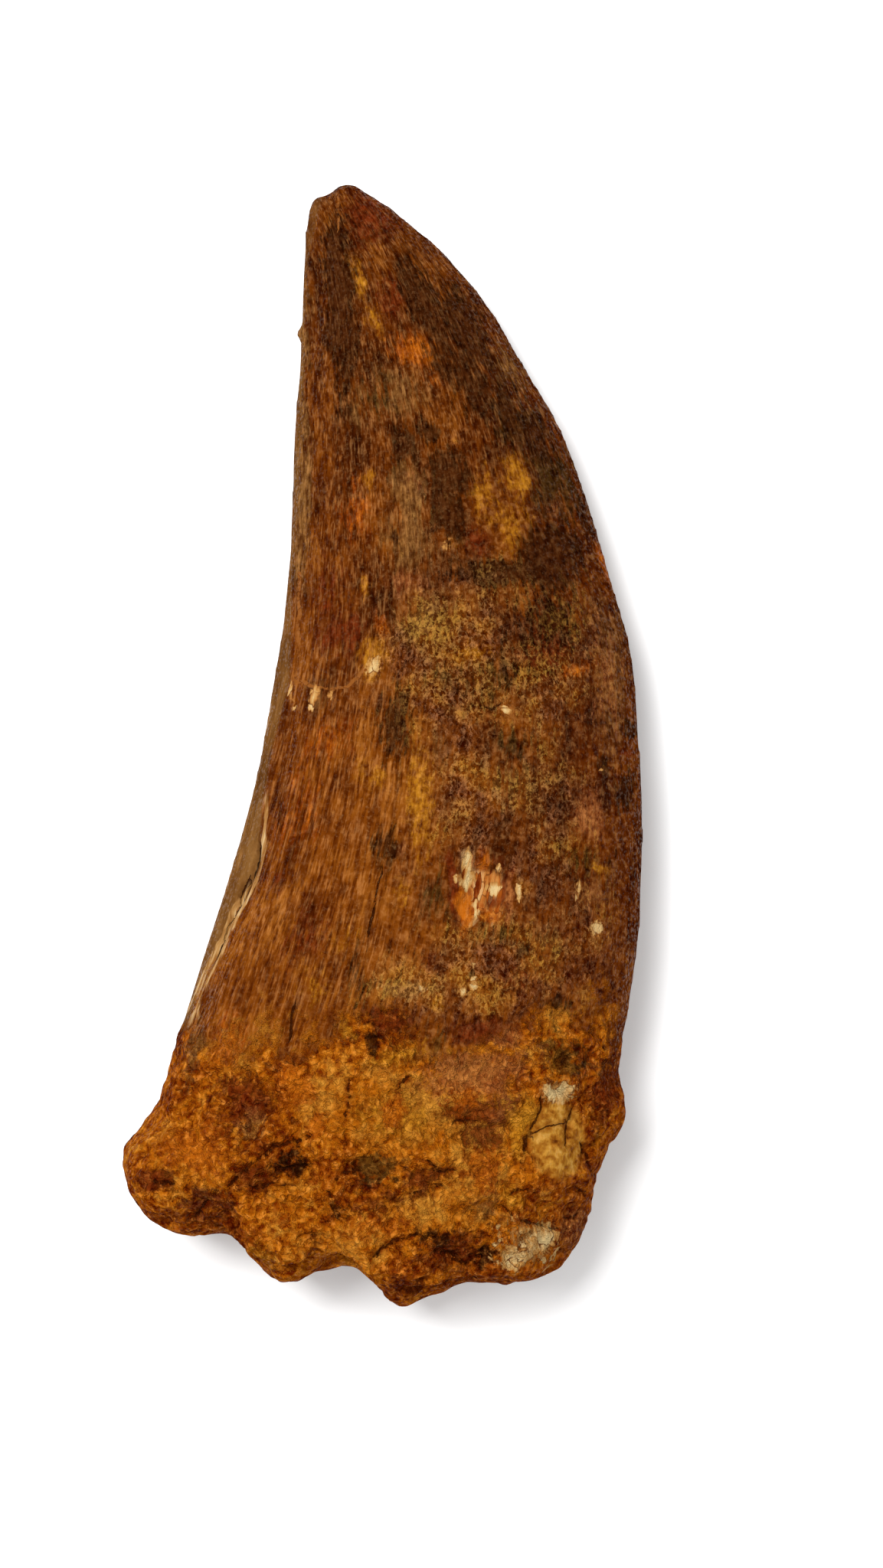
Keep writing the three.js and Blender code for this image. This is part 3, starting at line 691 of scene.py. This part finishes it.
class Textures:
    """The fields stored on the mesh, and the noises that break them up."""

    def __init__(self, g):
        metres = g.nodes.new("ShaderNodeTexCoord").outputs["Object"]
        self.position = g.vector_math("MULTIPLY", metres, (1 / MM,) * 3)
        self.grain = g.attribute("grain")
        self.dark, self.olive, self.red = g.parts(g.attribute("stain_dark_olive_red"))
        self.gold, self.orange, self.tan = g.parts(g.attribute("stain_gold_orange_tan"))
        self.pink, self.pale, self.crust = g.parts(g.attribute("stain_pink_pale_crust"))
        self.root, self.strip, self.chip = g.parts(g.attribute("zone_root_strip_chip"))
        self.nodule, self.crack, self.light = g.parts(g.attribute("zone_nodule_crack_light"))
        self.ridge, self.first_line, self.second_line = g.parts(g.attribute("ridge"))

        # Fibres of the enamel, and the bands that they lie in.
        self.fibre = g.noise(self.grain, (0.22, 9.0, 0.22), detail=2)
        self.strand = g.noise(self.grain, (0.38, 20, 0.38), detail=2, seed=2)
        self.dash = g.noise(self.grain, (0.30, 1.5, 0.30), detail=3, roughness=0.65, seed=3)
        self.band = g.noise(self.grain, (1.8, 8, 1.8), detail=3, seed=4)

        # Where the fibres run on unbroken, toward the back edge and the tip, and the front edge, darkened as
        # painted shade on the side turned from the soft box.
        aside, self.along, _ = g.parts(self.grain)
        across = g.total((1.0, aside), (14.0, g.noise(self.grain, (4, 9, 4), seed=5)))
        self.lined = g.greatest(g.ranged(across, 11.0, 1.0), g.ranged(self.along, 16.0, 30.0))
        self.front = g.ranged(aside, 6, 14, 0.0, 0.9)

        # Grains of the crust and the root, and blotches of both.
        loose = g.warped(self.position, 0.9, 0.35, seed=6)
        self.sand = g.noise(loose, (0.40, 0.50, 0.40), detail=3, roughness=0.6, seed=13)
        self.knob = g.noise(loose, 0.62, detail=2, roughness=0.45, seed=15)
        self.worm = g.ranged(g.folded(g.noise(loose, (0.5, 0.7, 0.5), detail=2, seed=7)), 0.09, 0.02)
        hollow = g.noise(loose, (0.42, 0.6, 0.42), detail=3, roughness=0.65, seed=9)
        self.hollow = g.ranged(hollow, 0.54, 0.40)
        self.mottle = g.noise(self.position, 1.3, detail=4, roughness=0.65, seed=8)
        self.speck = g.noise(self.position, (0.5, 0.8, 0.5), detail=3, roughness=0.7, seed=11)
        self.blotch = g.noise(self.position, 4.0, detail=3, seed=10)
        gap = g.folded(g.noise(loose, 0.8, detail=3, roughness=0.6, seed=23))
        self.gap = g.ranged(gap, 0.055, 0.005)

        # Splinters of the chip, and flakes of what is pale.
        self.splinter, self.splinter_edge = g.shards(g.warped(self.grain, 0.8, 0.2, seed=20), (0.5, 2.0, 0.5))
        self.flake, self.flake_edge = g.shards(g.warped(self.position, 0.9, 0.5, seed=21), (1.7, 1.3, 1.7))

        # What tears the edges of stains.
        torn_fibre = g.noise(self.grain, (0.6, 3.6, 0.6), detail=5, roughness=0.72, seed=12)
        self.torn_grain = g.noise(self.position, 1.1, detail=5, roughness=0.75, seed=14)
        self.rooty = g.cut(self.root, self.mottle, 0.5, 0.3, 2.0)
        self.torn = g.lerp(self.rooty, torn_fibre, self.torn_grain)
        self.torn = g.lerp(self.chip, self.torn, g.total((0.24, self.splinter), (0.38, 1.0)))
        kinds = ("dark", "olive", "red", "gold", "orange", "tan", "pink")
        self.patches = {kind: self.patch(g, getattr(self, kind)) for kind in kinds}
        self.deep = g.greatest(*(self.patches[kind] for kind in ("dark", "red", "olive")))
        self.crusty = g.product(self.patch(g, self.crust), g.inverse(self.rooty))
        self.gritty = g.greatest(self.rooty, self.crusty)
        self.rough = g.product(self.gritty, g.inverse(g.math("MULTIPLY", self.nodule, 0.85)))

        # Thin lines, and how far the painted shade beside the open cracks reaches.
        self.crevice, self.crevice_shade_reach = self.thin_line(g, "crevice")
        self.pale_line, _ = self.thin_line(g, "pale_line")

    def thin_line(self, g, name):
        """1 on the lines stored as this attribute, and 1 fading to 0 over the half millimetre beside them."""
        signed, near, width = g.parts(g.attribute(name))
        fray = g.centred(g.lerp(self.rough, self.speck, self.torn_grain))
        frayed = g.math("ADD", signed, g.math("MULTIPLY", fray, g.lerp(self.rough, 0.3, 1.5)))
        line = g.ranged(g.math("DIVIDE", g.math("ABSOLUTE", frayed), width), 1.3, 0.7)
        line = g.product(line, g.lerp(self.rough, 1.0, g.ranged(self.knob, 0.60, 0.44)))
        return g.product(line, g.ranged(near, 0.5, 0.35)), g.ranged(near, 0.6, 0.1)

    def patch(self, g, field):
        """A ragged patch where a stain's nearness, torn by noise, is over 0.5."""
        return g.cut(field, self.torn, 0.51, 0.20, 2.1)


def ground_colour(g, t):
    """Enamel and root without stains or texture."""
    enamel = g.ramp(g.total((0.6, t.band), (0.5, t.blotch), (0.15, t.light)), [
        (0.43, pigment(77, 31, 4)), (0.53, pigment(109, 50, 8)), (0.63, pigment(133, 67, 11)),
        (0.75, pigment(158, 90, 25)),
    ])
    # Painted shade: the enamel darker toward the front edge, turned from the soft box.
    enamel = g.tinted(t.front, enamel, (0.72, 0.60, 0.56, 1))
    toward_tip = g.math("MULTIPLY", g.ranged(t.along, -10, 46), 0.6)
    enamel = g.tinted(toward_tip, enamel, (0.55, 0.48, 0.5, 1))
    matrix = g.ramp(g.total((0.5, t.mottle), (0.6, t.blotch), (0.24, t.light)), [
        (0.42, pigment(108, 42, 6)), (0.54, pigment(160, 76, 9)), (0.65, pigment(198, 110, 16)),
        (0.80, pigment(212, 140, 46)),
    ])
    smooth = g.ramp(g.total((0.6, t.mottle), (0.3, t.blotch), (0.3, t.knob)), [
        (0.46, pigment(112, 56, 12)), (0.56, pigment(168, 104, 28)), (0.65, pigment(196, 138, 50)),
        (0.76, pigment(212, 162, 84)),
    ])
    strip = g.ramp(t.band, [
        (0.35, pigment(98, 60, 24)), (0.50, pigment(126, 84, 39)), (0.66, pigment(152, 108, 57)),
    ])
    dentine = g.ramp(g.total((0.4, t.splinter), (0.6, t.strand)), [
        (0.27, pigment(112, 38, 6)), (0.38, pigment(176, 88, 24)), (0.49, pigment(210, 136, 64)),
        (0.60, pigment(232, 182, 122)),
    ])
    dentine = g.mix(g.ranged(t.splinter_edge, 0.07, 0.01, 0.0, 0.6), dentine, pigment(76, 24, 6))
    colour = g.mix(t.rooty, enamel, matrix)
    colour = g.mix(t.nodule, colour, smooth)
    colour = g.mix(g.product(t.strip, g.ranged(t.along, 30, -4, 0.5, 0.9)), colour, strip)
    return g.mix(t.chip, colour, dentine)


def stained(g, t, colour):
    """The broad stains, each of two tones."""
    for kind, strength, low, high in [
        ("tan", 0.75, (94, 58, 23), (146, 100, 50)),
        ("red", 0.85, (78, 26, 6), (128, 50, 17)),
        ("olive", 0.80, (50, 36, 13), (98, 70, 26)),
        ("pink", 0.75, (132, 62, 26), (190, 116, 60)),
        ("gold", 0.80, (130, 64, 8), (206, 136, 32)),
        ("orange", 0.90, (142, 60, 8), (210, 112, 20)),
        ("dark", 0.92, (38, 14, 3), (74, 35, 11)),
    ]:
        value = g.total((1.0, t.speck), (0.35, g.math("SUBTRACT", getattr(t, kind), 0.7)))
        tones = g.ramp(value, [(0.36, pigment(*low)), (0.62, pigment(*high))])
        colour = g.mix(g.math("MULTIPLY", t.patches[kind], strength), colour, tones)
    return colour


def textured(g, t, colour):
    """Dark streaks and grains of the fossil's own colour, with painted shade in the grooves, pits and gaps
    between the grains; pale fibres and grains, with painted highlights on their tops.
    """
    # Dark where the bump's noises are low: partly the fossil's own dark streaks and gaps, partly painted
    # shade in grooves, pits and between grains.
    lines = g.total((0.78, g.ranged(t.strand, 0.56, 0.38)), (0.17, g.ranged(t.dash, 0.50, 0.34)))
    dashes = g.total((0.75, g.ranged(t.dash, 0.54, 0.36)), (0.25, g.ranged(t.strand, 0.52, 0.36)))
    pits = g.ranged(t.knob, 0.52, 0.34)
    broken, unbroken = g.total((0.5, dashes), (0.7, pits)), g.total((0.9, lines), (0.25, pits))
    crown_dark = g.lerp(t.lined, broken, unbroken)
    gaps = g.product(t.gap, g.ranged(t.mottle, 0.62, 0.44))
    root_dark = g.total(
        (0.5, gaps), (0.75, g.ranged(t.knob, 0.56, 0.34)), (0.30, g.ranged(t.mottle, 0.46, 0.30)),
    )
    crust_dark = g.total(
        (0.4, t.hollow), (0.5, g.ranged(t.sand, 0.50, 0.34)), (0.4, g.ranged(t.mottle, 0.50, 0.36)),
        (0.35, crown_dark), (0.4, g.ranged(t.blotch, 0.50, 0.38)),
    )

    # Pale where the bump's noises are high: partly the fossil's own pale fibres and grains, partly painted
    # highlights on their tops.
    pale_lines = g.ranged(g.total((1.0, t.fibre), (0.5, t.strand), (0.5, t.mottle)), 1.0, 1.22, 0.0, 0.7)
    pale_dashes = g.product(g.ranged(t.dash, 0.54, 0.70), g.ranged(t.mottle, 0.40, 0.58), 0.9)
    grains = g.ranged(t.knob, 0.52, 0.68)
    broken, unbroken = g.total((0.5, pale_dashes), (0.6, grains)), g.total((1.0, pale_lines), (0.25, grains))
    crown_pale = g.lerp(t.lined, broken, unbroken)
    root_pale = g.product(g.ranged(t.knob, 0.48, 0.70), g.inverse(t.gap), g.ranged(t.speck, 0.36, 0.60), 1.4)
    crust_grains = g.total((1.1, g.ranged(t.sand, 0.50, 0.64)), (0.6, t.worm))
    # The crust's pale grains fade toward the front edge as painted shade.
    crust_pale = g.product(
        crust_grains, g.ranged(t.torn_grain, 0.36, 0.52), g.ranged(t.speck, 0.36, 0.50),
        g.inverse(g.math("MULTIPLY", t.front, 0.4)), g.ranged(t.blotch, 0.36, 0.58, 0.75, 1.35),
    )

    darkness_and_shade = g.lerp(t.rough, crown_dark, g.lerp(t.rooty, crust_dark, root_dark))
    calm = g.greatest(
        g.math("MULTIPLY", t.nodule, 0.7), t.strip, g.ranged(t.orange, 0.7, 1.1), t.chip,
        g.product(g.ranged(t.light, 0.2, 0.8), t.rooty, 0.75), g.ranged(t.gold, 1.2, 1.6),
    )
    darkness_and_shade = g.product(darkness_and_shade, g.inverse(g.math("MULTIPLY", calm, 0.75)))
    # Painted shade in a soft band beside each open crack.
    beside = g.product(t.crevice_shade_reach, g.lerp(t.rough, 0.35, g.ranged(t.knob, 0.62, 0.40, 0.3, 1.0)))
    darkness_and_shade = g.math("MULTIPLY", g.greatest(darkness_and_shade, beside), 0.9)
    # The darkening tint, for the fossil's own dark streaks and for the painted shade alike.
    shade = g.mix(t.rooty, (0.28, 0.13, 0.05, 1), (0.36, 0.13, 0.05, 1))
    colour = g.tinted(darkness_and_shade, colour, shade)
    paleness_and_highlight = g.lerp(t.rough, crown_pale, g.lerp(t.rooty, crust_pale, g.math("MULTIPLY", root_pale, 0.9)))
    for stilled, share in ((calm, 0.5), (t.deep, 0.6)):
        paleness_and_highlight = g.product(paleness_and_highlight, g.inverse(g.math("MULTIPLY", stilled, share)))
    sandy = g.ramp(t.blotch, [
        (0.42, pigment(142, 96, 62)), (0.50, pigment(148, 108, 58)), (0.60, pigment(150, 114, 46)),
    ])
    # Colour added where pale: the pale grains' own colour and the painted highlights on them.
    pale_and_highlight_tint = g.mix(t.crusty, g.mix(t.rooty, pigment(128, 90, 50), pigment(146, 98, 42)), sandy)
    return g.mix(paleness_and_highlight, colour, pale_and_highlight_tint, "ADD")


def worn(g, t, colour):
    """Pale specks and lines, open cracks painted dark as their shade, and the cutting ridge with its own
    crack, also painted dark as shade.
    """
    ragged = g.total((0.4, t.flake), (1.0, t.speck), (0.6, t.strand))
    ragged = g.lerp(t.chip, ragged, g.total((0.5, t.splinter), (1.5, t.strand)))
    fleck = g.total((1.0, t.pale), (1.0, g.math("SUBTRACT", ragged, 1.0)))
    fleck = g.product(fleck, g.ranged(t.pale, 0.15, 0.3))
    whiteness = g.total((0.55, fleck), (0.25, t.flake), (0.25, t.mottle), (0.20, t.strand), (0.08, t.chip))
    cream = g.ramp(whiteness, [
        (0.52, pigment(156, 92, 38)), (0.72, pigment(206, 148, 78)), (1.0, pigment(238, 204, 142)),
    ])
    flake_crack = g.product(g.ranged(t.flake_edge, 0.07, 0.0), g.ranged(t.mottle, 0.40, 0.55))
    cream = g.mix(g.math("MULTIPLY", flake_crack, g.inverse(t.chip)), cream, pigment(116, 62, 24))
    colour = g.mix(g.ranged(fleck, 0.42, 0.58), colour, cream)
    broken_line = g.product(t.pale_line, g.ranged(t.mottle, 0.38, 0.50))
    colour = g.mix(g.math("MULTIPLY", broken_line, 0.85), colour, cream)
    # Painted shade: the open cracks are painted dark along their lines.
    colour = g.mix(g.lerp(t.rough, t.crevice, g.math("MULTIPLY", t.crevice, 0.8)), colour, pigment(60, 24, 6))
    drift = g.centred(g.noise(t.grain, (0.9, 4, 0.9), detail=2, seed=18))
    off_ridge = g.total((1.0, t.ridge), (1.3, drift))
    off_second, off_crack = (g.math("ABSOLUTE", g.math("ADD", off_ridge, place)) for place in (0.80, 0.46))
    first = g.product(g.ranged(g.math("ABSOLUTE", off_ridge), 0.26, 0.12), t.first_line)
    second = g.product(g.ranged(off_second, 0.20, 0.08), t.second_line)
    colour = g.mix(g.product(g.greatest(first, second), 0.9), colour, g.ramp(t.strand, [
        (0.40, pigment(160, 106, 50)), (0.52, pigment(200, 150, 88)), (0.62, pigment(226, 188, 134)),
    ]))
    # Painted shade in the open crack beside the ridge.
    crack = g.product(g.ranged(off_crack, 0.16, 0.06), t.crack)
    return g.mix(crack, colour, pigment(48, 30, 15))


def fossil_shine(g, t):
    """Satin enamel with small glints; matt root and crust."""
    enamel = g.lerp(t.strand, 0.40, 0.62)
    matt = g.lerp(t.sand, 0.70, 0.95)
    g.feed(g.shader.inputs["Roughness"], g.lerp(g.greatest(t.gritty, t.chip), enamel, matt))
    glints = g.noise(t.position, 0.3, detail=1, seed=19)
    g.feed(g.shader.inputs["Specular IOR Level"], g.ranged(glints, 0.50, 0.78, 0.0, 0.32))
    g.shader.inputs["Specular Tint"].default_value = (1.0, 0.55, 0.20, 1.0)


def fossil_bump(g, t):
    """Relief too fine for the mesh, in millimetres."""
    broken, unbroken = g.total((0.14, t.dash), (0.06, t.fibre)), g.total((0.12, t.strand), (0.06, t.fibre))
    fibres = g.lerp(t.lined, broken, unbroken)
    sand = g.total((-0.07, t.hollow), (0.05, t.worm), (0.20, t.torn_grain))
    knobs = g.total((0.75, t.knob), (-0.10, t.gap), (0.20, t.sand), (0.30, t.torn_grain))
    bump = g.nodes.new("ShaderNodeBump")
    bump.inputs["Strength"].default_value = 1.0
    bump.inputs["Distance"].default_value = MM
    height = g.lerp(t.rough, fibres, g.lerp(t.rooty, sand, knobs))
    g.feed(bump.inputs["Height"], g.total((1.0, height), (-0.25, t.crevice)))
    g.feed(g.shader.inputs["Normal"], bump.outputs[0])


def fossil_material():
    """The whole fossil's one material."""
    g = Graph("fossil_tooth")
    t = Textures(g)
    g.feed(g.shader.inputs["Base Color"], worn(g, t, textured(g, t, stained(g, t, ground_colour(g, t)))))
    fossil_shine(g, t)
    fossil_bump(g, t)
    return g.material


# ---------------------------------------------------------------- the tooth


def build_tooth():
    """The dressed tooth, in place of the CAD solid."""
    tooth = dense_copy(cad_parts["tooth"], "fossil_tooth")
    surface = Surface(tooth.data)
    paint(tooth.data, surface)
    add_relief(tooth.data, surface)
    tooth.data.materials.append(fossil_material())
    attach(tooth, "root")
    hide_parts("tooth")
    return tooth


# ---------------------------------------------------------------- studio

# In metres and watts: one soft box over the back edge, and white light from all around.
FLOOR_HALF = 3.0
KEY_PLACE = (-0.33, 0.33, 1.05)
KEY_SIZE = 0.44
KEY_WATTS = 14.0
AMBIENT = 0.87

# In millimetres: the camera looks straight down, with the tip at the top of the picture.
FOCAL_LENGTH = 100
SENSOR_HEIGHT = 36
VIEW_CENTRE = (5.33, -4.02)
VIEW_DISTANCE = 404.14  # from the tooth's middle plane
MIDDLE_PLANE = 10.5


def floor_material():
    """Plain white paper."""
    g = Graph("studio_paper")
    position = g.nodes.new("ShaderNodeTexCoord").outputs["Object"]
    fibre = g.noise(position, 0.01)
    paper = g.ramp(fibre, [(0.3, (0.93, 0.93, 0.93, 1)), (0.7, (0.95, 0.95, 0.95, 1))])
    g.feed(g.shader.inputs["Base Color"], paper)
    g.shader.inputs["Roughness"].default_value = 0.95
    g.shader.inputs["Specular IOR Level"].default_value = 0.0
    return g.material


def build_floor():
    """The sheet that the tooth lies on."""
    mesh = bpy.data.meshes.new("floor")
    corners = [(x * FLOOR_HALF, y * FLOOR_HALF, 0) for x, y in ((-1, -1), (1, -1), (1, 1), (-1, 1))]
    mesh.from_pydata(corners, [], [(0, 1, 2, 3)])
    mesh.materials.append(floor_material())
    floor = bpy.data.objects.new("floor", mesh)
    bpy.context.scene.collection.objects.link(floor)


def add_light(name, place, size, watts):
    """A square soft box that faces the tooth."""
    data = bpy.data.lights.new(name, "AREA")
    data.shape = "SQUARE"
    data.size = size
    data.energy = watts
    light = bpy.data.objects.new(name, data)
    light.location = place
    light.rotation_euler = (-Vector(place)).to_track_quat("-Z", "Y").to_euler()
    bpy.context.scene.collection.objects.link(light)


def build_lights():
    """The soft box, and the light from all around."""
    add_light("key", KEY_PLACE, KEY_SIZE, KEY_WATTS)
    world = bpy.data.worlds.new("studio")
    world.use_nodes = True
    background = world.node_tree.nodes["Background"]
    background.inputs["Color"].default_value = (1, 1, 1, 1)
    background.inputs["Strength"].default_value = AMBIENT
    bpy.context.scene.world = world


def build_camera():
    """The camera, straight over the middle of the picture."""
    data = bpy.data.cameras.new("camera")
    data.lens = FOCAL_LENGTH
    data.sensor_fit = "VERTICAL"
    data.sensor_height = SENSOR_HEIGHT
    data.clip_start = 0.01
    data.clip_end = 20
    camera = bpy.data.objects.new("camera", data)
    camera.location = (VIEW_CENTRE[0] * MM, VIEW_CENTRE[1] * MM, (MIDDLE_PLANE + VIEW_DISTANCE) * MM)
    bpy.context.scene.collection.objects.link(camera)
    bpy.context.scene.camera = camera


build_tooth()
build_floor()
build_lights()
build_camera()
bpy.context.scene.view_settings.view_transform = "Standard"
